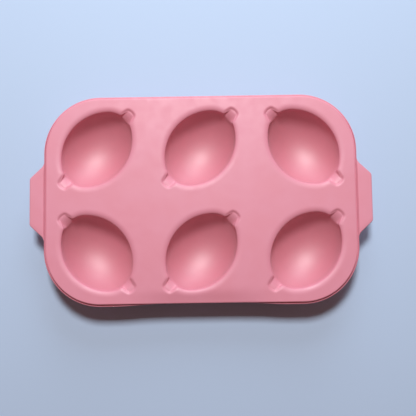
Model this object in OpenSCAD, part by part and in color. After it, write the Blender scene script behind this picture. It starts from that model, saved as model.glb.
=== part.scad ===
// Six-cavity lemon soap mould, moulded in one soft silicone piece.
//
// The deck is a thin plate with six half-lemon cups hanging under it. A stepped
// rim runs round the deck: a low ledge, a short skirt under the ledge, and a
// grip tab at each short side. The tray stands on the flats under its cups.
//
// The moulding is split into named regions. The two grip tabs bend about their
// root lines and the six cup floors push up, so those regions are cut free of
// the tray by a narrow gap.
//
// X runs along the tray, Y from front to back and Z up. The origin is on the
// table under the middle of the tray.

/* [Tray] */
// Length of the raised deck, along X
deck_length = 262; // [225:1:320]
// Width of the raised deck, along Y
deck_width = 174; // [150:1:220]
// Thickness of the deck plate
deck_thickness = 2.5; // [1.6:0.1:3.6]
// Radius of the deck's corners seen from above
deck_corner_radius = 46; // [30:1:56]
// How much longer and wider the grid of cup cells is than the deck
cell_overrun = 2; // [0:0.5:4]

/* [Lemon cups] */
// Half the length of a lemon's body, without its nubs
lemon_half_length = 35.5; // [32:0.5:42]
// Half the width of a lemon's body, which is also its depth
lemon_half_width = 27.3; // [24:0.1:31]
// Radius of the round shoulder at each end of the body
shoulder_radius = 20; // [16:0.5:22]
// Radius of the round tip of the nub at each end of the lemon
nub_radius = 4; // [2.5:0.1:5]
// How far a nub stands out past the end of the body
nub_length = 7.7; // [6:0.1:10]
// Taper of a nub, from its axis
nub_taper = 12; // [5:1:20]
// Angle between a lemon's long axis and X
lemon_lean = 51; // [35:1:60]
// How far the nubs' axis is swung from the long axis, towards X
nub_swing = 4.7; // [0:0.1:9]
// Thickness of a cup's wall
cup_wall = 2.3; // [1.5:0.1:3.2]
// Thickness of a cup's floor over its flat foot
cup_floor_thickness = 2; // [1.2:0.1:2.2]

/* [Rim] */
// Width of the ledge that shows round the deck
ledge_width = 2; // [1:0.1:5]
// Height of the step from the ledge up to the deck
ledge_step = 2; // [1:0.1:2.4]
// Thickness of the ledge
ledge_thickness = 2.4; // [1.6:0.1:3.6]
// How far the ledge reaches in under the deck
ledge_underlap = 2; // [1:0.1:4]
// Thickness of the skirt under the ledge
skirt_thickness = 2; // [1.2:0.1:3]
// Depth of the skirt under the ledge
skirt_depth = 5; // [2:0.5:12]

/* [Grip tabs] */
// How far a tab reaches out from the ledge
tab_reach = 12.4; // [9:0.1:25]
// Thickness of a tab
tab_thickness = 2.4; // [1.6:0.1:3.6]
// How far a tab's top face lies under the ledge's top face
tab_drop = 0.6; // [0:0.1:1.2]
// Distance from the end of the straight side to the tab's root
tab_root_inset = 6; // [2:0.5:12]
// Slope of a tab's flanks, from the line of the ledge
tab_flank_angle = 47; // [38:1:56]
// Radius of a tab's outer corners
tab_corner_radius = 4; // [2:0.5:6]
// Radius of the hollow curve from a flank into the ledge
tab_root_radius = 8; // [4:0.5:10]

/* [Moving regions] */
// Radius of the round part of a cup's floor that pushes up
push_radius = 14; // [10:0.5:17]
// Gap round a push-up floor
push_gap = 0.3; // [0.2:0.05:0.5]
// Gap between a tab's rounded root and the ledge
tab_gap = 0.3; // [0.2:0.05:0.5]

/* [Hidden] */
PLACES = ["back_left", "back_middle", "back_right",
          "front_left", "front_middle", "front_right"];

// Which way each lemon leans: 1 leans to the right, -1 to the left
LEANS = [1, 1, -1, -1, 1, 1];
COLUMNS = 3;
ROWS = 2;

ARC_SIDES = 96;
ARC_STEP = 7;
PINK = [0.93, 0.62, 0.68];
DEEP_PINK = [0.86, 0.5, 0.58];

// Heights
deck_top = lemon_half_width + cup_floor_thickness;
deck_bottom = deck_top - deck_thickness;
ledge_top = deck_top - ledge_step;
ledge_bottom = ledge_top - ledge_thickness;
skirt_bottom = ledge_bottom - skirt_depth;
tab_top = ledge_top - tab_drop;
tab_middle = tab_top - tab_thickness / 2;

// Outer line of the ledge
rim_length = deck_length + 2 * ledge_width;
rim_width = deck_width + 2 * ledge_width;
rim_corner_radius = deck_corner_radius + ledge_width;

// Cup places
pitch_x = (deck_length + cell_overrun) / COLUMNS;
pitch_y = (deck_width + cell_overrun) / ROWS;
function cup_place(i) = [
    (i % COLUMNS - (COLUMNS - 1) / 2) * pitch_x,
    ((ROWS - 1) / 2 - floor(i / COLUMNS)) * pitch_y,
    deck_top
];

// A lemon's body lies along y, with its widest point on x. From the widest point
// to its end it is two arcs, the flank and the shoulder. A nub has a tapered side
// and a round tip.
shoulder_y = lemon_half_length - shoulder_radius;
shoulder_fall = lemon_half_width - shoulder_radius;
flank_back = (shoulder_y * shoulder_y - shoulder_fall * shoulder_fall) / (2 * shoulder_fall);
flank_radius = lemon_half_width + flank_back;
flank_turn = atan2(shoulder_y, flank_back);
tip_y = lemon_half_length + nub_length - nub_radius;

// Points on an arc, both ends included, about one for each ARC_STEP degrees
function arc(centre, radius, from, to) =
    let (steps = ceil(abs(to - from) / ARC_STEP))
    [for (k = [0 : steps])
        let (angle = from + (to - from) * k / steps)
        centre + radius * [cos(angle), sin(angle)]];

// A quarter of the outline of a body that is grown by grow all round
function body_quarter(grow) = concat(
    arc([-flank_back, 0], flank_radius + grow, 0, flank_turn),
    arc([0, shoulder_y], shoulder_radius + grow, flank_turn + ARC_STEP / 2, 90)
);

// Half of that outline, from the back end round the right-hand side
function body_half(grow) =
    let (quarter = body_quarter(grow), last = len(quarter) - 1)
    concat(
        [for (k = [last : -1 : 1]) quarter[k]],
        [for (k = [0 : last]) [quarter[k].x, -quarter[k].y]]
    );

// Half of the outline of a nub that is grown by grow, from inside the body out
function nub_half(grow) =
    let (root = (nub_radius + grow) / cos(nub_taper) + (tip_y - shoulder_y) * tan(nub_taper))
    concat(
        [[0, shoulder_y], [root, shoulder_y]],
        arc([0, tip_y], nub_radius + grow, nub_taper, 90)
    );

// Tab outline. The root's hollow curve leaves the ledge's line, the flank runs
// straight from there to the outer corner, and both curves touch the flank.
ledge_x = rim_length / 2;
tab_hinge_x = ledge_x + tab_gap + tab_thickness / 2;
tab_end_x = ledge_x + tab_reach;
tab_root_half = rim_width / 2 - rim_corner_radius - tab_root_inset;
tab_hollow_x = ledge_x + tab_root_radius;
tab_corner_x = tab_end_x - tab_corner_radius;
flank_sin = sin(tab_flank_angle);
flank_cos = cos(tab_flank_angle);
tab_flank_start = [tab_hollow_x - tab_root_radius * flank_cos,
               tab_root_half - tab_root_radius * flank_sin];
tab_flank_end_x = tab_corner_x + tab_corner_radius * flank_cos;
tab_flank_end_y = tab_flank_start.y - (tab_flank_end_x - tab_flank_start.x) * flank_cos / flank_sin;
tab_corner_y = tab_flank_end_y - tab_corner_radius * flank_sin;
hinge_to_hollow = tab_hollow_x - tab_hinge_x;
tab_hinge_half = tab_root_half - sqrt(pow(tab_root_radius, 2) - pow(hinge_to_hollow, 2));
TAB_EDGE = [
    [tab_hinge_x, tab_hinge_half],
    tab_flank_start,
    [tab_flank_end_x, tab_flank_end_y],
    [tab_end_x, tab_corner_y]
];

BIG = 2 * (deck_length + deck_width);

// ---- Flat shapes ----

// Rounded rectangle, made of two bars and a quarter disc in each corner
module rounded_rectangle(length, width, radius) {
    square([length, width - 2 * radius], center = true);
    square([length - 2 * radius, width], center = true);
    for (sx = [-1, 1], sy = [-1, 1])
        translate([sx * (length / 2 - radius), sy * (width / 2 - radius)])
            intersection() {
                circle(r = radius, $fn = ARC_SIDES);
                translate([sx > 0 ? 0 : -radius, sy > 0 ? 0 : -radius])
                    square(radius);
            }
}

// ---- Cups ----

// Puts what follows at cup i, turned by an angle from X the way its lemon leans
module at_cup(i, lean = 0) {
    translate(cup_place(i))
        rotate([0, 0, LEANS[i] * lean])
            children();
}

// A solid of revolution lying along the X axis, made from half of its outline
module turned_on_x(outline) {
    rotate([0, 0, -90])
        rotate([-90, 0, 0])
            rotate_extrude($fn = ARC_SIDES)
                polygon(outline);
}

// The whole lemon of cup i, with its axis in the deck's top face
module lemon(i, grow) {
    at_cup(i, lemon_lean)
        turned_on_x(body_half(grow));
    for (end = [0, 180])
        at_cup(i, lemon_lean - nub_swing + end)
            turned_on_x(nub_half(grow));
}

// The part of cup i's lemon-shaped shell that lies inside the solid given as children
module shell_inside(i) {
    difference() {
        intersection() {
            lemon(i, cup_wall);
            at_cup(i)
                children();
        }
        lemon(i, 0);
    }
}

// The space between the table and the deck's underside, round one cup
module under_deck() {
    translate([-BIG / 2, -BIG / 2, -deck_top])
        cube([BIG, BIG, deck_bottom]);
}

// The same space, within a round column through the middle of the cup
module push_column(radius) {
    translate([0, 0, -deck_top])
        cylinder(r = radius, h = deck_bottom, $fn = ARC_SIDES);
}

module cup_wall_region(i) {
    color(PINK)
        shell_inside(i)
            difference() {
                under_deck();
                push_column(push_radius + push_gap);
            }
}

module cup_floor_region(i) {
    color(DEEP_PINK)
        shell_inside(i)
            push_column(push_radius);
}

// ---- Deck and rim ----

module deck_plate() {
    translate([0, 0, deck_bottom])
        linear_extrude(deck_thickness)
            rounded_rectangle(deck_length, deck_width, deck_corner_radius);
}

module deck() {
    color(PINK)
        difference() {
            deck_plate();
            for (i = [0 : len(PLACES) - 1])
                lemon(i, 0);
        }
}

// Upright ring between the rim's outer line and a line inset from it
module rim_ring(bottom, height, inset) {
    translate([0, 0, bottom])
        linear_extrude(height)
            difference() {
                rounded_rectangle(rim_length, rim_width, rim_corner_radius);
                rounded_rectangle(rim_length - 2 * inset, rim_width - 2 * inset,
                                  rim_corner_radius - inset);
            }
}

module rim_ledge() {
    color(PINK)
        difference() {
            rim_ring(ledge_bottom, ledge_thickness, ledge_width + ledge_underlap);
            deck_plate();
        }
}

module rim_skirt() {
    color(PINK)
        rim_ring(skirt_bottom, skirt_depth, skirt_thickness);
}

// ---- Grip tabs ----

// Outline of the right tab, from its hinge line outwards: a polygon through the
// ends of the straight edges, with its outer corners rounded and its roots hollowed
module tab_outline() {
    difference() {
        union() {
            polygon([
                for (point = TAB_EDGE) point,
                for (k = [len(TAB_EDGE) - 1 : -1 : 0]) [TAB_EDGE[k].x, -TAB_EDGE[k].y]
            ]);
            for (end = [-1, 1])
                translate([tab_corner_x, end * tab_corner_y])
                    circle(r = tab_corner_radius, $fn = ARC_SIDES);
        }
        for (end = [-1, 1])
            translate([tab_hollow_x, end * tab_root_half])
                circle(r = tab_root_radius, $fn = ARC_SIDES);
    }
}

module tab(side) {
    color(PINK)
        mirror([side < 0 ? 1 : 0, 0, 0]) {
            translate([0, 0, tab_middle - tab_thickness / 2])
                linear_extrude(tab_thickness)
                    tab_outline();
            translate([tab_hinge_x, 0, tab_middle])
                rotate([90, 0, 0])
                    cylinder(d = tab_thickness, h = 2 * tab_hinge_half,
                             center = true, $fn = ARC_SIDES);
        }
}

deck();
rim_ledge();
rim_skirt();
tab(-1);  // left_grip_tab
tab(1);  // right_grip_tab
for (i = [0 : len(PLACES) - 1]) {
    cup_wall_region(i);
    cup_floor_region(i);
}
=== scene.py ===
"""Looks of a six-cavity lemon soap mould in soft pink silicone.

Every piece is a closed shell built from rings and grids of points around the
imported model's own boxes. Lengths are in metres. A lemon is drawn lying along
its own y axis and is then turned the way its cavity leans.
"""

import math

import bmesh
import bpy
import numpy as np
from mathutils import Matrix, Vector


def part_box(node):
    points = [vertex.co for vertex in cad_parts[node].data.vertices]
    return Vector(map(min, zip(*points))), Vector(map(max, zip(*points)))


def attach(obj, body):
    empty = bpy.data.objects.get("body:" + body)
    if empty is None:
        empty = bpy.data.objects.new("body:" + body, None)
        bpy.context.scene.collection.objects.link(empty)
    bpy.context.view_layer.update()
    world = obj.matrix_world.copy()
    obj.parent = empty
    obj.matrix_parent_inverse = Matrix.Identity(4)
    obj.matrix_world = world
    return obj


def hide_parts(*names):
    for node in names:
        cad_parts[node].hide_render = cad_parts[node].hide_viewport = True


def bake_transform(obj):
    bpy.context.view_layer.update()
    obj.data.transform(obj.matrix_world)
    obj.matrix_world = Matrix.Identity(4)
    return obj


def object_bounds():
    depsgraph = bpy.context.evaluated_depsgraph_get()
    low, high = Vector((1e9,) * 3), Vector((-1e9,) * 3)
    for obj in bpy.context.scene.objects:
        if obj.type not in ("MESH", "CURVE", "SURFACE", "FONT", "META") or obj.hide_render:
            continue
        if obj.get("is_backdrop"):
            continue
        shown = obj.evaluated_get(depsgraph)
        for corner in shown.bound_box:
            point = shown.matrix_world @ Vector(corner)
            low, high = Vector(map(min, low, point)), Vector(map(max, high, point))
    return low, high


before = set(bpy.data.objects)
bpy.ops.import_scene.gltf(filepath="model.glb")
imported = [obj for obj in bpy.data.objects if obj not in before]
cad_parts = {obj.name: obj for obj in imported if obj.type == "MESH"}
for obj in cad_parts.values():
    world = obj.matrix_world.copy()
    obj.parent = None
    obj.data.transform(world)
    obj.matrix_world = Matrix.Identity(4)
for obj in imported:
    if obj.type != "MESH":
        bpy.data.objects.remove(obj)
CAD_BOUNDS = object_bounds()
MM = 0.001

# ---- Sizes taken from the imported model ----

PLACES = ("back_left", "back_middle", "back_right",
          "front_left", "front_middle", "front_right")
LEANS = (1, 1, -1, -1, 1, 1)
DECK_LOW, DECK_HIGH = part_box("deck")
LEDGE_LOW, LEDGE_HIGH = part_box("rim_ledge")
SKIRT_LOW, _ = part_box("rim_skirt")
TAB_LOW, TAB_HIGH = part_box("right_grip_tab")
DECK_TOP = DECK_HIGH.z
DECK_BOTTOM = DECK_LOW.z
LEDGE_TOP = LEDGE_HIGH.z
LEDGE_BOTTOM = LEDGE_LOW.z
SKIRT_BOTTOM = SKIRT_LOW.z
LEDGE_WIDTH = LEDGE_HIGH.x - DECK_HIGH.x


def cup_centre(place):
    """Middle of a cavity, seen from above."""
    low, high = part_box(place + "_cup_floor")
    return np.array([(low.x + high.x) / 2, (low.y + high.y) / 2])


CENTRES = [cup_centre(place) for place in PLACES]
HALF_PITCH = (CENTRES[2][0] - CENTRES[1][0]) / 2
CENTRE_LINE = 0.0

# ---- Sizes of the moulding's details ----

CORNER_RADIUS = 46 * MM
LEMON_LEAN = math.radians(51)
LEMON_HALF_LENGTH = 35.5 * MM
LEMON_HALF_WIDTH = 27.3 * MM
SHOULDER_RADIUS = 20 * MM
NUB_RADIUS = 4.0 * MM
NUB_LENGTH = 7.4 * MM
NUB_TAPER = math.radians(16)
NUB_TIP_RADIUS = 7 * MM
NUB_CORNER = 1.6 * MM
NUB_SWING = math.radians(4.7)
NUB_FILLET = 2.5 * MM
NUB_FILLET_UNDER = 4 * MM
OUTER_SOFTNESS = 4.6 * MM

LIP_WIDTH = 5 * MM
LIP_DROP = 1.8 * MM
NUB_LIP_WIDTH = 2.2 * MM
NUB_LIP_DROP = 1.2 * MM
NUB_WALL_SHARE = 0.62
CUP_SEAM = 5.4 * MM
CAVITY_SOFTNESS = 2.4 * MM
CUP_WALL = 2.3 * MM
UNDER_FILLET = 1.5 * MM
FOOT_SOFTNESS = 0.15 * MM
NUB_START = 34.6 * MM
NUB_FULL = 38 * MM
NUB_RISE_START = 34 * MM
NUB_RISE_END = 43 * MM

DECK_EDGE = 0.8 * MM
GUTTER_DEPTH = 1.3 * MM
GUTTER_BACK_DEPTH = 0.15 * MM
GUTTER_BACK_START = 45 * MM
GUTTER_BACK_END = 75 * MM
GUTTER_WIDTH = 1.05 * MM
GUTTER_SLOPE = 0.15 * MM
LEDGE_EDGE = 0.7 * MM
LEDGE_UNDERLAP = 2 * MM
LEDGE_OVERLAP = 0.05 * MM
SKIRT_THICKNESS = 2 * MM
SKIRT_LIP = 0.7 * MM

TAB_REACH = TAB_HIGH.x - LEDGE_HIGH.x
TAB_FLANK = math.radians(47)
TAB_CORNER = 4 * MM
TAB_HOLLOW = 8 * MM
TAB_ROOT_HALF = 35 * MM
TAB_EDGE = 0.8 * MM
TAB_EDGE_RUN_IN = 1.5 * MM
TAB_ROOT_DROP = 0.9 * MM
TAB_ROOT_WIDTH = 0.5 * MM

# ---- Rings of points ----

SIDE_STEPS = 32
FLANK_STEPS = 12
SHOULDER_STEPS = 4
FILLET_STEPS = 5
SIDE_OF_NUB_STEPS = 3
NUB_CORNER_STEPS = 4
TIP_STEPS = 4
HALF_STEPS = 2 * SIDE_STEPS


def arc(centre, radius, start, end, steps):
    """Points on an arc and the outward directions there, both ends included."""
    turn = np.linspace(start, end, steps + 1)
    out = np.stack([np.cos(turn), np.sin(turn)], 1)
    return np.asarray(centre) + radius * out, out


def nub_corner(swing):
    """The centre of the round corner between a nub's side and its blunt end, and the
    direction in which the corner meets the end."""
    axis_turn = math.pi / 2 - swing
    along = np.array([math.cos(axis_turn), math.sin(axis_turn)])
    across = np.array([along[1], -along[0]])
    set_back = NUB_TIP_RADIUS - NUB_RADIUS
    end_centre = (LEMON_HALF_LENGTH + NUB_LENGTH - NUB_TIP_RADIUS) * along
    side_reach = NUB_RADIUS - NUB_CORNER + set_back * math.sin(NUB_TAPER)
    end_reach = math.sqrt((NUB_TIP_RADIUS - NUB_CORNER) ** 2 - side_reach ** 2)
    forward = side_reach * math.sin(NUB_TAPER) + end_reach * math.cos(NUB_TAPER)
    sideways = side_reach * math.cos(NUB_TAPER) - end_reach * math.sin(NUB_TAPER)
    centre = end_centre + forward * along + sideways * across
    return centre, axis_turn - math.atan2(sideways, forward)


def lemon_quarter(grow, fillet, swing):
    """A lemon's outline from its widest point to its tip, with the nub swung that way."""
    shoulder_y = LEMON_HALF_LENGTH - SHOULDER_RADIUS
    fall = LEMON_HALF_WIDTH - SHOULDER_RADIUS
    flank_back = (shoulder_y ** 2 - fall ** 2) / (2 * fall)
    flank_turn = math.atan2(shoulder_y, flank_back)
    shoulder_centre = np.array([0, shoulder_y])
    tip_reach = LEMON_HALF_LENGTH + NUB_LENGTH - NUB_RADIUS
    tip_centre = tip_reach * np.array([math.sin(swing), math.cos(swing)])
    side_turn = NUB_TAPER - swing
    side_out = np.array([math.cos(side_turn), math.sin(side_turn)])
    reach = SHOULDER_RADIUS + grow + fillet
    out = NUB_RADIUS + grow + fillet + (tip_centre - shoulder_centre) @ side_out
    shoulder_turn = side_turn + math.acos(out / reach)
    fillet_centre = shoulder_centre + reach * np.array(
        [math.cos(shoulder_turn), math.sin(shoulder_turn)])
    flank = arc([-flank_back, 0], LEMON_HALF_WIDTH + flank_back + grow,
                0, flank_turn, FLANK_STEPS)
    shoulder = arc(shoulder_centre, SHOULDER_RADIUS + grow,
                   flank_turn, shoulder_turn, SHOULDER_STEPS)
    hollow = arc(fillet_centre, fillet, math.pi + shoulder_turn, math.pi + side_turn,
                 FILLET_STEPS)
    corner_centre, tip_turn = nub_corner(swing)
    corner = arc(corner_centre, NUB_CORNER + grow, side_turn, tip_turn, NUB_CORNER_STEPS)
    end_centre = tip_centre * (1 + (NUB_RADIUS - NUB_TIP_RADIUS) / tip_reach)
    tip = arc(end_centre, NUB_TIP_RADIUS + grow, tip_turn, math.pi / 2 - swing, TIP_STEPS)
    along = np.linspace(0, 1, SIDE_OF_NUB_STEPS + 1)[1:-1, None]
    side = hollow[0][-1] + along * (corner[0][0] - hollow[0][-1])
    return np.concatenate([flank[0], shoulder[0][1:], hollow[0][1:], side,
                           corner[0], tip[0][1:]])


def lemon_half(grow, fillet):
    """The outline's right-hand half, from the tip at +y round to the tip at -y."""
    back = lemon_quarter(grow, fillet, NUB_SWING)
    front = lemon_quarter(grow, fillet, -NUB_SWING)
    return np.concatenate([back[:0:-1], front * [1, -1]])


def lemon_ring(grow, fillet):
    """The whole outline as a closed ring, clockwise from the tip at +y. A half turn
    about the middle leaves it unchanged."""
    half = lemon_half(grow, fillet)
    return np.concatenate([half[:-1], -half[:-1]])


def turned(points, lean):
    """Points of a lemon turned the way it leans; x and y are the first two columns. A
    lemon that leans to the left is the mirror image of one that leans to the right."""
    angle = LEMON_LEAN - math.pi / 2
    c, s = math.cos(angle), math.sin(angle)
    result = np.array(points, float)
    result[..., 0] = lean * (c * points[..., 0] - s * points[..., 1])
    result[..., 1] = s * points[..., 0] + c * points[..., 1]
    return result


def at_height(ring, z):
    """A flat ring lifted to a height."""
    return np.concatenate([ring, np.full((len(ring), 1), z)], 1)


def rim_ring(outset):
    """The deck's outline moved outwards by outset, clockwise from above the left-hand
    side of the middle column. Each cell beside the outline has a fixed number of points."""
    half_x = DECK_HIGH.x + outset
    half_y = DECK_HIGH.y + outset
    straight_x = DECK_HIGH.x - CORNER_RADIUS
    straight_y = DECK_HIGH.y - CORNER_RADIUS
    lengths = np.array([straight_x - HALF_PITCH,
                        CORNER_RADIUS * math.pi / 2, straight_y])
    arc_steps = round(HALF_STEPS * lengths[1] / lengths.sum())
    first_steps = round((HALF_STEPS - arc_steps) * lengths[0] / (lengths[0] + lengths[2]))
    last_steps = HALF_STEPS - arc_steps - first_steps
    top = np.stack([np.linspace(HALF_PITCH, straight_x, first_steps + 1),
                    np.full(first_steps + 1, half_y)], 1)
    bend = arc([straight_x, straight_y], CORNER_RADIUS + outset,
               math.pi / 2, 0, arc_steps)[0]
    side = np.stack([np.full(last_steps + 1, half_x),
                     np.linspace(straight_y, 0, last_steps + 1)], 1)
    corner = np.concatenate([top, bend[1:], side[1:]])
    middle = np.stack([np.linspace(-HALF_PITCH, HALF_PITCH, SIDE_STEPS + 1),
                       np.full(SIDE_STEPS + 1, half_y)], 1)
    quarter_turns = [middle[:-1], corner[:-1], corner[:0:-1] * [1, -1],
                     -middle[:-1], -corner[:-1], corner[:0:-1] * [-1, 1]]
    return np.concatenate(quarter_turns)


# For each cell: where its stretch of the rim starts, how many of the cell's sides lie
# on the rim, and which of its corners the stretch starts from. A cell's corners are
# numbered clockwise from the back right one.
RIM_STRETCH = {
    "back_middle": (0, 1, 3),
    "back_right": (SIDE_STEPS, 2, 3),
    "front_right": (SIDE_STEPS + HALF_STEPS, 2, 0),
    "front_middle": (SIDE_STEPS + 2 * HALF_STEPS, 1, 1),
    "front_left": (2 * SIDE_STEPS + 2 * HALF_STEPS, 2, 1),
    "back_left": (2 * SIDE_STEPS + 3 * HALF_STEPS, 2, 2),
}


def cell_ring(place, rim):
    """The border of a cavity's cell, clockwise from the back corner that its lemon
    points at. Its outer sides lie on the rim and its inner sides are straight."""
    start, side_count, first_corner = RIM_STRETCH[place]
    stretch = rim[[(start + k) % len(rim) for k in range(side_count * SIDE_STEPS + 1)]]
    if side_count == 1:
        inner_x = [stretch[-1][0], stretch[0][0]]
    else:
        inner_x = [-HALF_PITCH if place.endswith("left") else HALF_PITCH]
    ends = [stretch[-1]] + [np.array([x, CENTRE_LINE]) for x in inner_x] + [stretch[0]]
    sides = [stretch[:-1]]
    for a, b in zip(ends, ends[1:]):
        sides.append(a + np.linspace(0, 1, SIDE_STEPS + 1)[:-1, None] * (b - a))
    ring = np.concatenate(sides)
    pointing_corner = 0 if LEANS[PLACES.index(place)] > 0 else 3
    return np.roll(ring, (first_corner - pointing_corner) * SIDE_STEPS, 0)


# ---- How finely the surfaces are divided ----

LIP_STEPS = 8
EDGE_STEPS = 4
BOWL_STEPS = 36
CELL_ROWS = (0, 0.12, 0.25, 0.4, 0.55, 0.7, 0.82, 0.92, 1)
TAB_HOLLOW_STEPS = 6
TAB_FLANK_STEPS = 9
TAB_CORNER_STEPS = 5
TAB_ACROSS_STEPS = 12
WELD = 0.002 * MM
SHARP_ANGLE = math.radians(38)

# ---- How the soft tray sags ----

SAG_DEPTH = 1.7 * MM
SAG_REACH = 14 * MM
SAG_FULL_HALF = 22 * MM
SAG_HALF = 75 * MM
TUCK = 2.2 * MM

# ---- Finish ----

PINK = (0.80, 0.295, 0.385, 1)
PINK_DEEP = (0.79, 0.28, 0.362, 1)
# Darker pink painted into the cavities below the deck as shade.
PINK_CAVITY_SHADE = (0.71, 0.20, 0.26, 1)
DUST = (0.78, 0.72, 0.70, 1)
CLOUD_SIZE = 28 * MM
CLOUD_RANGE = (0.35, 0.68)
SHEEN_PATCH_SIZE = 9 * MM
PATCH_RANGE = (0.3, 0.7)
ROUGH_FROM = 0.46
ROUGH_TO = 0.56
SILICONE_IOR = 1.5
SPECULAR_LEVEL = 0.75
SHEEN_WEIGHT = 0.08
SHEEN_ROUGHNESS = 0.6
GRAIN_SIZE = 0.45 * MM
GRAIN_HEIGHT = 0.012 * MM
RIPPLE_SIZE = 11 * MM
RIPPLE_HEIGHT = 0.10 * MM
DUST_SPACING = 6 * MM
DUST_AMOUNT = 0.010
SPECK_SIZE = 0.05
INNER_ROUGHNESS = 0.85
# Heights below the deck top where the cavities' painted shade and pale bloom start and are full.
BLOOM_AND_SHADE_FADES = 2.5 * MM
BLOOM_AND_SHADE_FULL = 9 * MM
BLOOM_PATCH_SIZE = 14 * MM
BLOOM_LEAST = 0.85
COAT_ROUGHNESS = 0.58
COAT_IOR = 2.4
COAT_TINT = (0.97, 0.96, 1.0, 1)
TABLE_TINT = (0.53, 0.66, 0.85, 1)
TABLE_ROUGHNESS = 0.8
TABLE_SPECULAR = 0.2
TABLE_HALF = 1.6

# ---- Light and camera ----

WINDOW_LIGHT = {"azimuth": math.radians(-3), "elevation": math.radians(61.5),
                "distance": 1.25, "size": 0.24, "power": 12.1,
                "tint": (0.965, 0.99, 1.0)}
LOW_LIGHT = {"azimuth": math.radians(8), "elevation": math.radians(24),
             "distance": 1.5, "size": 0.9, "power": 11.5,
             "tint": (0.72, 0.86, 1.0)}
SKY_TINT = (1.0, 0.52, 0.42, 1)
SKY_STRENGTH = 0.15
BACKDROP_TINT = (0.62, 0.68, 0.76, 1)
BACKDROP_STRENGTH = 0.75
CAMERA_LENS = 49.55
CAMERA_SENSOR = 36
CAMERA_ACROSS = 7.6 * MM
CAMERA_FORWARD = -40.2 * MM
CAMERA_ABOVE = 481 * MM
CAMERA_TURN = (math.radians(3.89), math.radians(0.19), math.radians(-0.88))

# ---- Building shells ----


class Shell:
    """A mesh made of grids of points, welded where they meet."""

    def __init__(self):
        self.points = []
        self.faces = []

    def grid(self, rows, closed=False):
        """Faces between neighbouring rows of points; closed joins each row's ends."""
        start = len(self.points)
        width = len(rows[0])
        for row in rows:
            self.points.extend(np.asarray(row, float).tolist())
        for r in range(len(rows) - 1):
            for c in range(width if closed else width - 1):
                a = start + r * width + c
                b = start + r * width + (c + 1) % width
                self.faces.append((a, b, b + width, a + width))

    def build(self, name, material):
        """The shell as one object, with its normals outwards and its soft edges smooth."""
        mesh = bpy.data.meshes.new(name)
        mesh.from_pydata([settled(point) for point in self.points], [], self.faces)
        work = bmesh.new()
        work.from_mesh(mesh)
        bmesh.ops.remove_doubles(work, verts=work.verts, dist=WELD)
        bmesh.ops.dissolve_degenerate(work, edges=work.edges, dist=WELD / 2)
        bmesh.ops.recalc_face_normals(work, faces=work.faces)
        work.to_mesh(mesh)
        work.free()
        mesh.polygons.foreach_set("use_smooth", [True] * len(mesh.polygons))
        mesh.set_sharp_from_angle(angle=SHARP_ANGLE)
        mesh.materials.append(material)
        piece = bpy.data.objects.new(name, mesh)
        bpy.context.scene.collection.objects.link(piece)
        return piece


def smooth_step(low, high, value):
    """0 at low and 1 at high, with a soft start and a soft stop; high may be the lesser."""
    t = min(max((value - low) / (high - low), 0.0), 1.0)
    return t * t * (3 - 2 * t)


def settled(point):
    """Where a point of the soft tray comes to rest. The front edge droops a little in
    the middle, and the ledge and skirt tuck in under it; the cups stay as moulded."""
    x, y, z = point
    middle = 1 - smooth_step(SAG_FULL_HALF, SAG_HALF, abs(x))
    front = smooth_step(SAG_REACH - LEDGE_HIGH.y, -LEDGE_HIGH.y, y) * middle
    raised = smooth_step(0, SKIRT_BOTTOM, z)
    under = smooth_step(DECK_TOP - DECK_EDGE, DECK_BOTTOM, z)
    edge = smooth_step(LEDGE_UNDERLAP - DECK_HIGH.y, -DECK_HIGH.y, y) * middle
    return (x, y + TUCK * edge * under, z - SAG_DEPTH * front * raised)


def quarter_bend(steps):
    """Angles from 0 to a right angle."""
    return np.linspace(0, math.pi / 2, steps + 1)


# ---- Pieces ----


def bowl_depth(half_width, softness):
    """How far a cup reaches below its lip where its outline is half_width wide."""
    return half_width ** 2 / (half_width + softness)


def stepped(low, high, points):
    """How far each point lies out along the way from one radius to another, 0 to 1."""
    return np.array([smooth_step(low, high, r) for r in np.linalg.norm(points, axis=1)])


def lip_row(outset, bend):
    """One ring of a cup's lip. The lip rolls over into the bowl, and slopes gently into
    the two nubs."""
    ring = lemon_ring(outset, NUB_FILLET)
    rolled = LIP_DROP * (1 - math.cos(bend))
    sloped = NUB_LIP_DROP * (1 + math.cos(math.pi * min(outset / NUB_LIP_WIDTH, 1))) / 2
    nub = stepped(NUB_START, NUB_FULL, lemon_ring(0, NUB_FILLET))
    height = DECK_TOP - rolled * (1 - nub) - sloped * nub
    return np.concatenate([ring, height[:, None]], 1)


def bowl_rows(grow, fillet, softness, top, nub_top):
    """Rows of points across a bowl, from its right-hand outline down and up to its left.
    Its edge is at one height round the bowl and at another round the nubs."""
    right = lemon_half(grow, fillet)
    left = -right[::-1]
    middle = (right + left) / 2
    reach = (right - left) / 2
    depth = bowl_depth(np.linalg.norm(reach, axis=1), softness)
    depth *= 1 - stepped(NUB_RISE_START, NUB_RISE_END, middle)
    edges = [top + (nub_top - top) * stepped(NUB_START, NUB_FULL, side)
             for side in (lemon_half(0, NUB_FILLET), -lemon_half(0, NUB_FILLET)[::-1])]
    nub = stepped(NUB_START, NUB_FULL, middle)
    rows = []
    for turn in np.linspace(0, math.pi, BOWL_STEPS + 1):
        share = (1 + math.cos(turn)) / 2
        edge = edges[0] * share + edges[1] * (1 - share)
        flat = smooth_step(0, NUB_WALL_SHARE, math.sin(turn))
        dip = math.sin(turn) * (1 - nub) + flat * nub
        across = middle + reach * math.cos(turn)
        rows.append(np.concatenate([across, (edge - depth * dip)[:, None]], 1))
    return rows


def above_table(z):
    """Heights with the underside softly flattened where it stands on the table."""
    return (z + np.sqrt(z * z + FOOT_SOFTNESS ** 2)) / 2


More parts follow.
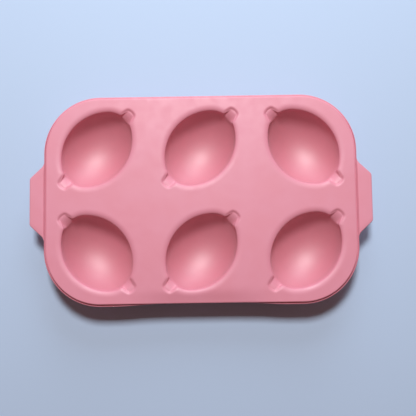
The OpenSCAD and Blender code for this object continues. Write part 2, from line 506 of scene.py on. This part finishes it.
def lemon_cup(place, material):
    """One cup: its lip in the deck, its cavity and its outer wall with a flat foot."""
    lean = LEANS[PLACES.index(place)]
    centre = CENTRES[PLACES.index(place)]
    shell = Shell()

    def add(rows, closed):
        placed = []
        for row in rows:
            row = turned(row, lean)
            row[:, :2] += centre
            row[:, 2] = above_table(row[:, 2])
            placed.append(row)
        shell.grid(placed, closed)

    seam = lemon_ring(CUP_SEAM, NUB_FILLET)
    lip = [at_height(seam, DECK_TOP)]
    for bend in quarter_bend(LIP_STEPS):
        lip.append(lip_row(LIP_WIDTH * (1 - math.sin(bend)), bend))
    add(lip, True)
    add(bowl_rows(0, NUB_FILLET, CAVITY_SOFTNESS, DECK_TOP - LIP_DROP,
                  DECK_TOP - NUB_LIP_DROP), False)

    under = [at_height(seam, DECK_TOP), at_height(seam, DECK_BOTTOM)]
    for bend in quarter_bend(LIP_STEPS):
        outset = CUP_WALL + UNDER_FILLET * (1 - math.sin(bend))
        drop = UNDER_FILLET * (1 - math.cos(bend))
        under.append(at_height(lemon_ring(outset, NUB_FILLET_UNDER), DECK_BOTTOM - drop))
    add(under, True)
    under_top = DECK_BOTTOM - UNDER_FILLET
    add(bowl_rows(CUP_WALL, NUB_FILLET_UNDER, OUTER_SOFTNESS, under_top, under_top), False)
    cup = shell.build(place + "_lemon_cup", material)
    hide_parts(place + "_cup_wall", place + "_cup_floor")
    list(centre)
    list(centre)
    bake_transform(cup)
    return cup


def cell_rows(place, rim, z):
    """Rows of a cell's flat face, from its cup's outline out to its border."""
    index = PLACES.index(place)
    inner = turned(lemon_ring(CUP_SEAM, NUB_FILLET), LEANS[index]) + CENTRES[index]
    if LEANS[index] < 0:
        inner = np.roll(inner[::-1], 1, 0)
    border = cell_ring(place, rim)
    return [at_height(inner + t * (border - inner), z) for t in CELL_ROWS]


def deck(material):
    """The flat plate between the cups, with a softly rounded outer edge."""
    shell = Shell()
    top_rim = rim_ring(-DECK_EDGE)
    low_rim = rim_ring(0)
    for place in PLACES:
        top = cell_rows(place, top_rim, DECK_TOP)
        low = cell_rows(place, low_rim, DECK_BOTTOM)
        shell.grid(top, True)
        shell.grid(low, True)
        shell.grid([top[0], low[0]], True)
    edge = []
    for bend in quarter_bend(EDGE_STEPS):
        ring = rim_ring(DECK_EDGE * (math.sin(bend) - 1))
        edge.append(at_height(ring, DECK_TOP - DECK_EDGE * (1 - math.cos(bend))))
    edge.append(at_height(low_rim, DECK_BOTTOM))
    shell.grid(edge, True)
    piece = shell.build("raised_deck", material)
    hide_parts("deck")
    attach(piece, "tray")


def swept_rim(name, profile, node, material):
    """A piece swept all the way round the rim. Its section is a closed line of (distance
    out from the deck's edge, height, height along the back)."""
    shell = Shell()
    loop = []
    for outset, z, back_z in profile:
        ring = rim_ring(outset)
        share = np.array([smooth_step(GUTTER_BACK_START, GUTTER_BACK_END, y) for y in ring[:, 1]])
        loop.append(np.concatenate([ring, (z + (back_z - z) * share)[:, None]], 1))
    shell.grid(loop + loop[:1], True)
    piece = shell.build(name, material)
    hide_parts(node)
    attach(piece, "tray")


def ledge(material):
    """The low ledge round the deck: it has a narrow gutter at the deck's foot, which all
    but runs out along the back, and is rounded outside."""
    under_deck = DECK_BOTTOM + LEDGE_OVERLAP
    gutter = LEDGE_TOP - GUTTER_DEPTH
    back_gutter = LEDGE_TOP - GUTTER_BACK_DEPTH
    profile = [(-LEDGE_UNDERLAP, under_deck, under_deck),
               (-GUTTER_SLOPE, under_deck, under_deck),
               (-GUTTER_SLOPE, gutter, under_deck),
               (0, gutter, back_gutter),
               (GUTTER_WIDTH, gutter, back_gutter),
               (GUTTER_WIDTH + GUTTER_SLOPE, LEDGE_TOP - GUTTER_SLOPE, LEDGE_TOP)]
    for bend in quarter_bend(EDGE_STEPS):
        z = LEDGE_TOP - LEDGE_EDGE * (1 - math.cos(bend))
        profile.append((LEDGE_WIDTH + LEDGE_EDGE * (math.sin(bend) - 1), z, z))
    profile.append((LEDGE_WIDTH, LEDGE_BOTTOM, LEDGE_BOTTOM))
    profile.append((-LEDGE_UNDERLAP, LEDGE_BOTTOM, LEDGE_BOTTOM))
    swept_rim("stepped_ledge", profile, "rim_ledge", material)


def skirt(material):
    """The short skirt under the ledge, with a rounded lower lip."""
    inner = LEDGE_WIDTH - SKIRT_THICKNESS
    middle = LEDGE_WIDTH - SKIRT_THICKNESS / 2
    profile = [(inner, LEDGE_BOTTOM, LEDGE_BOTTOM), (LEDGE_WIDTH, LEDGE_BOTTOM, LEDGE_BOTTOM)]
    for turn in np.linspace(0, math.pi, 2 * EDGE_STEPS + 1):
        z = SKIRT_BOTTOM + SKIRT_LIP * (1 - math.sin(turn))
        profile.append((middle + SKIRT_THICKNESS / 2 * math.cos(turn), z, z))
    swept_rim("rim_skirt_band", profile, "rim_skirt", material)


def tab_flank():
    """The tab's side from its root to its outer corner: points and outward directions,
    with x measured out from the ledge and y from the tab's middle."""
    hollow_centre = np.array([TAB_HOLLOW, TAB_ROOT_HALF])
    hollow = arc(hollow_centre, TAB_HOLLOW, -math.pi, -math.pi + TAB_FLANK, TAB_HOLLOW_STEPS)
    corner_x = TAB_REACH - TAB_CORNER
    flank_end_x = corner_x + TAB_CORNER * math.cos(TAB_FLANK)
    flank_start = hollow[0][-1]
    flank_end_y = flank_start[1] - (flank_end_x - flank_start[0]) / math.tan(TAB_FLANK)
    corner_y = flank_end_y - TAB_CORNER * math.sin(TAB_FLANK)
    corner = arc([corner_x, corner_y], TAB_CORNER, TAB_FLANK, 0, TAB_CORNER_STEPS)
    along = np.linspace(0, 1, TAB_FLANK_STEPS + 1)[1:-1, None]
    straight = flank_start + along * (corner[0][0] - flank_start)
    straight_out = np.repeat(corner[1][:1], len(straight), 0)
    points = np.concatenate([hollow[0], straight, corner[0]])
    outward = np.concatenate([-hollow[1], straight_out, corner[1]])
    return points, outward


def tab_rows(inset, z):
    """Rows across the tab's flat face, moved in from its edge by inset."""
    points, outward = tab_flank()
    ease = np.array([smooth_step(0, TAB_EDGE_RUN_IN, x) for x in points[:, 0]])
    points = points - inset * ease[:, None] * outward
    rows = []
    for x, y in points:
        across = np.linspace(y, -y, TAB_ACROSS_STEPS + 1)
        rows.append(np.stack([np.full(len(across), x), across,
                              np.full(len(across), z)], 1))
    return rows


def tab_border(rows):
    """The free border of a tab's face: one flank, the end and the other flank."""
    one = [row[0] for row in rows]
    end = list(rows[-1][1:-1])
    other = [row[-1] for row in rows[::-1]]
    return np.array(one + end + other)


def sunk_root(row, middle, half):
    """A row of the tab's points with its top lowered beside the root, which leaves a fine
    groove along the ledge. The tab reaches half above and below its middle height."""
    row = np.array(row)
    upper = np.clip((row[:, 2] - middle) / half, 0, 1)
    near = np.array([1 - smooth_step(0, TAB_ROOT_WIDTH, x) for x in row[:, 0]])
    row[:, 2] -= TAB_ROOT_DROP * upper * near
    return row


def grip_tab(side, material):
    """One grip tab, rounded along its free edge, with a fine groove beside the ledge."""
    shell = Shell()
    half = (TAB_HIGH.z - TAB_LOW.z) / 2
    middle = (TAB_HIGH.z + TAB_LOW.z) / 2
    top = tab_rows(TAB_EDGE, middle + half)
    low = tab_rows(TAB_EDGE, middle - half)
    border = []
    for end in (1, -1):
        for bend in quarter_bend(EDGE_STEPS)[::end]:
            z = middle + end * (half - TAB_EDGE * (1 - math.cos(bend)))
            border.append(tab_border(tab_rows(TAB_EDGE * (1 - math.sin(bend)), z)))
    one = np.array([row[0] for row in border])
    other = np.array([row[-1] for row in border])
    root = [one + t * (other - one) for t in np.linspace(0, 1, TAB_ACROSS_STEPS + 1)]
    faces = [top, low, border, root]
    for rows in faces:
        sunk = [sunk_root(row, middle, half) for row in rows]
        shell.grid([(row + [LEDGE_HIGH.x, 0, 0]) * [side, 1, 1] for row in sunk])
    name = "left" if side < 0 else "right"
    tab = shell.build(name + "_soft_tab", material)
    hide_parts(name + "_grip_tab")
    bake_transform(tab)


# ---- Silicone ----

# A mix node has a set of sockets for each kind of value. These are the colour ones.
MIX_COLOUR_A = 6
MIX_COLOUR_B = 7
MIX_COLOUR_RESULT = 2


def new_group(name, inputs, outputs):
    """An empty shader node group with named sockets, as (group, its input, its output)."""
    group = bpy.data.node_groups.new(name, "ShaderNodeTree")
    for socket_name, kind, value in inputs:
        socket = group.interface.new_socket(socket_name, in_out="INPUT", socket_type=kind)
        socket.default_value = value
    for socket_name, kind in outputs:
        group.interface.new_socket(socket_name, in_out="OUTPUT", socket_type=kind)
    return group, group.nodes.new("NodeGroupInput"), group.nodes.new("NodeGroupOutput")


def noise(nodes, links, place, size, detail=2.0, roughness=0.5):
    """Noise with bumps about as large as size, in metres."""
    node = nodes.new("ShaderNodeTexNoise")
    node.inputs["Scale"].default_value = 1 / size
    node.inputs["Detail"].default_value = detail
    node.inputs["Roughness"].default_value = roughness
    links.new(place, node.inputs["Vector"])
    return node.outputs["Fac"]


def remapped(nodes, links, value, low, high, to_low, to_high):
    """value moved from one range to another, and held at its ends. Each limit is a
    socket or a number."""
    node = nodes.new("ShaderNodeMapRange")
    node.interpolation_type = "SMOOTHSTEP"
    links.new(value, node.inputs["Value"])
    limits = {"From Min": low, "From Max": high, "To Min": to_low, "To Max": to_high}
    for name, number in limits.items():
        if isinstance(number, bpy.types.NodeSocket):
            links.new(number, node.inputs[name])
        else:
            node.inputs[name].default_value = number
    return node.outputs["Result"]


def calculated(nodes, links, operation, a, b):
    """The result of one operation on two values, each a socket or a number."""
    node = nodes.new("ShaderNodeMath")
    node.operation = operation
    for socket, value in zip(node.inputs, (a, b)):
        if isinstance(value, bpy.types.NodeSocket):
            links.new(value, socket)
        else:
            socket.default_value = value
    return node.outputs["Value"]


def mixed(nodes, links, share, a, b):
    """Colour a turning into colour b by share."""
    node = nodes.new("ShaderNodeMix")
    node.data_type = "RGBA"
    links.new(share, node.inputs["Factor"])
    for number, value in ((MIX_COLOUR_A, a), (MIX_COLOUR_B, b)):
        socket = node.inputs[number]
        if isinstance(value, bpy.types.NodeSocket):
            links.new(value, socket)
        else:
            socket.default_value = value
    return node.outputs[MIX_COLOUR_RESULT]


def pigment_cloud_group():
    """Slow clouds in the pigment and in the sheen of cast silicone."""
    group, given, made = new_group(
        "pigment_cloud",
        [("Place", "NodeSocketVector", (0, 0, 0)),
         ("Tint", "NodeSocketColor", (1, 1, 1, 1)),
         ("Deep Tint", "NodeSocketColor", (1, 1, 1, 1)),
         ("Rough From", "NodeSocketFloat", 0.5),
         ("Rough To", "NodeSocketFloat", 0.6)],
        [("Tint", "NodeSocketColor"), ("Roughness", "NodeSocketFloat")])
    nodes, links = group.nodes, group.links
    cloud = noise(nodes, links, given.outputs["Place"], CLOUD_SIZE, detail=3.0)
    share = remapped(nodes, links, cloud, *CLOUD_RANGE, 0.0, 1.0)
    tint = mixed(nodes, links, share, given.outputs["Tint"], given.outputs["Deep Tint"])
    links.new(tint, made.inputs["Tint"])
    patches = noise(nodes, links, given.outputs["Place"], SHEEN_PATCH_SIZE,
                    detail=4.0, roughness=0.6)
    rough = remapped(nodes, links, patches, *PATCH_RANGE,
                     given.outputs["Rough From"], given.outputs["Rough To"])
    links.new(rough, made.inputs["Roughness"])
    return group


def mould_grain_group():
    """The very fine tooth that a blasted metal mould leaves, over a faint ripple."""
    group, given, made = new_group(
        "mould_grain",
        [("Place", "NodeSocketVector", (0, 0, 0)),
         ("Grain Height", "NodeSocketFloat", 0.0),
         ("Ripple Height", "NodeSocketFloat", 0.0)],
        [("Height", "NodeSocketFloat")])
    nodes, links = group.nodes, group.links
    grain = noise(nodes, links, given.outputs["Place"], GRAIN_SIZE, roughness=0.7)
    ripple = noise(nodes, links, given.outputs["Place"], RIPPLE_SIZE, detail=1.0)
    grain = calculated(nodes, links, "MULTIPLY", grain, given.outputs["Grain Height"])
    ripple = calculated(nodes, links, "MULTIPLY", ripple, given.outputs["Ripple Height"])
    height = calculated(nodes, links, "ADD", grain, ripple)
    links.new(height, made.inputs["Height"])
    return group


def dust_group():
    """Sparse specks of dust that cling to silicone."""
    group, given, made = new_group(
        "clinging_dust",
        [("Place", "NodeSocketVector", (0, 0, 0)),
         ("Speck Size", "NodeSocketFloat", 0.0),
         ("Amount", "NodeSocketFloat", 0.0)],
        [("Mask", "NodeSocketFloat")])
    nodes, links = group.nodes, group.links
    cells = nodes.new("ShaderNodeTexVoronoi")
    cells.inputs["Scale"].default_value = 1 / DUST_SPACING
    links.new(given.outputs["Place"], cells.inputs["Vector"])
    near = calculated(nodes, links, "LESS_THAN", cells.outputs["Distance"],
                      given.outputs["Speck Size"])
    parts = nodes.new("ShaderNodeSeparateColor")
    links.new(cells.outputs["Color"], parts.inputs["Color"])
    chosen = calculated(nodes, links, "LESS_THAN", parts.outputs["Red"],
                        given.outputs["Amount"])
    mask = calculated(nodes, links, "MULTIPLY", near, chosen)
    links.new(mask, made.inputs["Mask"])
    return group


def cavity_bloom_and_shade_group():
    """Where the cavities' painted shade and pale bloom go: full deep in the cavities, fading out
    towards the lips.
    """
    group, given, made = new_group(
        "cavity_bloom_and_shade",
        [("Place", "NodeSocketVector", (0, 0, 0)),
         ("Fades From", "NodeSocketFloat", 0.0),
         ("Full From", "NodeSocketFloat", 0.0),
         ("Bloom", "NodeSocketFloat", 1.0)],
        [("Mask", "NodeSocketFloat"), ("Coat", "NodeSocketFloat")])
    nodes, links = group.nodes, group.links
    axes = nodes.new("ShaderNodeSeparateXYZ")
    links.new(given.outputs["Place"], axes.inputs["Vector"])
    mask = remapped(nodes, links, axes.outputs["Z"], given.outputs["Fades From"],
                    given.outputs["Full From"], 0.0, 1.0)
    links.new(mask, made.inputs["Mask"])
    patches = noise(nodes, links, given.outputs["Place"], BLOOM_PATCH_SIZE, detail=3.0)
    uneven = remapped(nodes, links, patches, *PATCH_RANGE, BLOOM_LEAST, 1.0)
    strength = calculated(nodes, links, "MULTIPLY", given.outputs["Bloom"], uneven)
    coat = calculated(nodes, links, "MULTIPLY", mask, strength)
    links.new(coat, made.inputs["Coat"])
    return group


GROUPS = {}


def place_group(material, build, values):
    """A node group placed in a material with its own values; built the first time."""
    if build not in GROUPS:
        GROUPS[build] = build()
    node = material.node_tree.nodes.new("ShaderNodeGroup")
    node.node_tree = GROUPS[build]
    for name, value in values.items():
        node.inputs[name].default_value = value
    return node


def silicone(name, cavity_shade_tint, bloom_amount):
    """Soft matte silicone with clouded pigment, a fine grain and a little dust. Below the
    deck it turns to the tint given for painted cavity shade, with a pale bloom as strong as
    bloom_amount."""
    material = bpy.data.materials.new(name)
    material.use_nodes = True
    nodes, links = material.node_tree.nodes, material.node_tree.links
    shader = nodes["Principled BSDF"]
    shader.inputs["IOR"].default_value = SILICONE_IOR
    shader.inputs["Specular IOR Level"].default_value = SPECULAR_LEVEL
    shader.inputs["Sheen Weight"].default_value = SHEEN_WEIGHT
    shader.inputs["Sheen Roughness"].default_value = SHEEN_ROUGHNESS
    shader.inputs["Coat Roughness"].default_value = COAT_ROUGHNESS
    shader.inputs["Coat IOR"].default_value = COAT_IOR
    shader.inputs["Coat Tint"].default_value = COAT_TINT
    place = nodes.new("ShaderNodeNewGeometry").outputs["Position"]
    cloud = place_group(material, pigment_cloud_group,
                        {"Tint": PINK, "Deep Tint": PINK_DEEP,
                         "Rough From": ROUGH_FROM, "Rough To": ROUGH_TO})
    specks = place_group(material, dust_group,
                         {"Speck Size": SPECK_SIZE, "Amount": DUST_AMOUNT})
    surface = place_group(material, mould_grain_group,
                          {"Grain Height": GRAIN_HEIGHT, "Ripple Height": RIPPLE_HEIGHT})
    bloom_and_shade = place_group(material, cavity_bloom_and_shade_group,
                        {"Fades From": DECK_TOP - BLOOM_AND_SHADE_FADES,
                         "Full From": DECK_TOP - BLOOM_AND_SHADE_FULL, "Bloom": bloom_amount})
    for group in (cloud, specks, surface, bloom_and_shade):
        links.new(place, group.inputs["Place"])
    # Below the deck the pink turns to the given tint: painted shade in the cavities.
    tint = mixed(nodes, links, bloom_and_shade.outputs["Mask"], cloud.outputs["Tint"], cavity_shade_tint)
    colour = mixed(nodes, links, specks.outputs["Mask"], tint, DUST)
    links.new(colour, shader.inputs["Base Color"])
    links.new(bloom_and_shade.outputs["Coat"], shader.inputs["Coat Weight"])
    rough = remapped(nodes, links, bloom_and_shade.outputs["Mask"], 0.0, 1.0,
                     cloud.outputs["Roughness"], INNER_ROUGHNESS)
    links.new(rough, shader.inputs["Roughness"])
    bump = nodes.new("ShaderNodeBump")
    bump.inputs["Distance"].default_value = 1.0
    links.new(surface.outputs["Height"], bump.inputs["Height"])
    links.new(bump.outputs["Normal"], shader.inputs["Normal"])
    return material


# ---- Studio ----


def painted_table():
    """The plain pale blue-grey table top under the tray."""
    material = bpy.data.materials.new("pale_table")
    material.use_nodes = True
    shader = material.node_tree.nodes["Principled BSDF"]
    shader.inputs["Roughness"].default_value = TABLE_ROUGHNESS
    shader.inputs["Base Color"].default_value = TABLE_TINT
    shader.inputs["Specular IOR Level"].default_value = TABLE_SPECULAR
    half = TABLE_HALF
    mesh = bpy.data.meshes.new("table_top")
    mesh.from_pydata([(-half, -half, 0), (half, -half, 0), (half, half, 0), (-half, half, 0)],
                     [], [(0, 1, 2, 3)])
    mesh.materials.append(material)
    table = bpy.data.objects.new("table_top", mesh)
    bpy.context.scene.collection.objects.link(table)
    table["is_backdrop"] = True


def area_light(name, azimuth, elevation, distance, size, power, tint):
    """A soft square light that faces the middle of the tray. Azimuth 0 is behind the tray
    and a positive one is to its right."""
    light = bpy.data.lights.new(name, "AREA")
    light.size = size
    light.energy = power
    light.color = tint
    lamp = bpy.data.objects.new(name, light)
    bpy.context.scene.collection.objects.link(lamp)
    flat = math.cos(elevation)
    towards = Vector((math.sin(azimuth) * flat, math.cos(azimuth) * flat, math.sin(elevation)))
    lamp.location = towards * distance
    lamp.rotation_euler = towards.to_track_quat("Z", "Y").to_euler()


def studio_sky():
    """Even warm light from all round, as walls give back, with a pale backdrop to see."""
    world = bpy.data.worlds.new("studio_sky")
    world.use_nodes = True
    nodes, links = world.node_tree.nodes, world.node_tree.links
    fill = nodes["Background"]
    fill.inputs["Color"].default_value = SKY_TINT
    fill.inputs["Strength"].default_value = SKY_STRENGTH
    backdrop = nodes.new("ShaderNodeBackground")
    backdrop.inputs["Color"].default_value = BACKDROP_TINT
    backdrop.inputs["Strength"].default_value = BACKDROP_STRENGTH
    seen = nodes.new("ShaderNodeLightPath").outputs["Is Camera Ray"]
    choice = nodes.new("ShaderNodeMixShader")
    links.new(seen, choice.inputs["Fac"])
    links.new(fill.outputs["Background"], choice.inputs[1])
    links.new(backdrop.outputs["Background"], choice.inputs[2])
    links.new(choice.outputs["Shader"], nodes["World Output"].inputs["Surface"])
    bpy.context.scene.world = world
    bpy.context.scene.view_settings.view_transform = "Standard"


def camera():
    """A camera nearly straight above the tray, leaning a little from the front."""
    data = bpy.data.cameras.new("camera")
    data.lens = CAMERA_LENS
    data.sensor_width = CAMERA_SENSOR
    eye = bpy.data.objects.new("camera", data)
    bpy.context.scene.collection.objects.link(eye)
    eye.location = (CAMERA_ACROSS, CAMERA_FORWARD, DECK_TOP + CAMERA_ABOVE)
    eye.rotation_mode = "ZYX"
    eye.rotation_euler = CAMERA_TURN
    bpy.context.scene.camera = eye


# ---- The tray ----

studio_sky()
area_light("window_light", **WINDOW_LIGHT)
area_light("low_light", **LOW_LIGHT)
painted_table()
camera()

deck_silicone = silicone("deck_silicone", cavity_shade_tint=PINK, bloom_amount=0.0)
cup_silicone = silicone("cup_silicone", cavity_shade_tint=PINK_CAVITY_SHADE, bloom_amount=1.0)
rim_silicone = silicone("rim_silicone", cavity_shade_tint=PINK, bloom_amount=0.0)

deck(deck_silicone)
ledge(rim_silicone)
skirt(rim_silicone)
for side in (-1, 1):
    grip_tab(side, rim_silicone)
for place in PLACES:
    lemon_cup(place, cup_silicone)

boxes = {"cad": CAD_BOUNDS, "visual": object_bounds()}
{name: [list(low), list(high)] for name, (low, high) in boxes.items()}
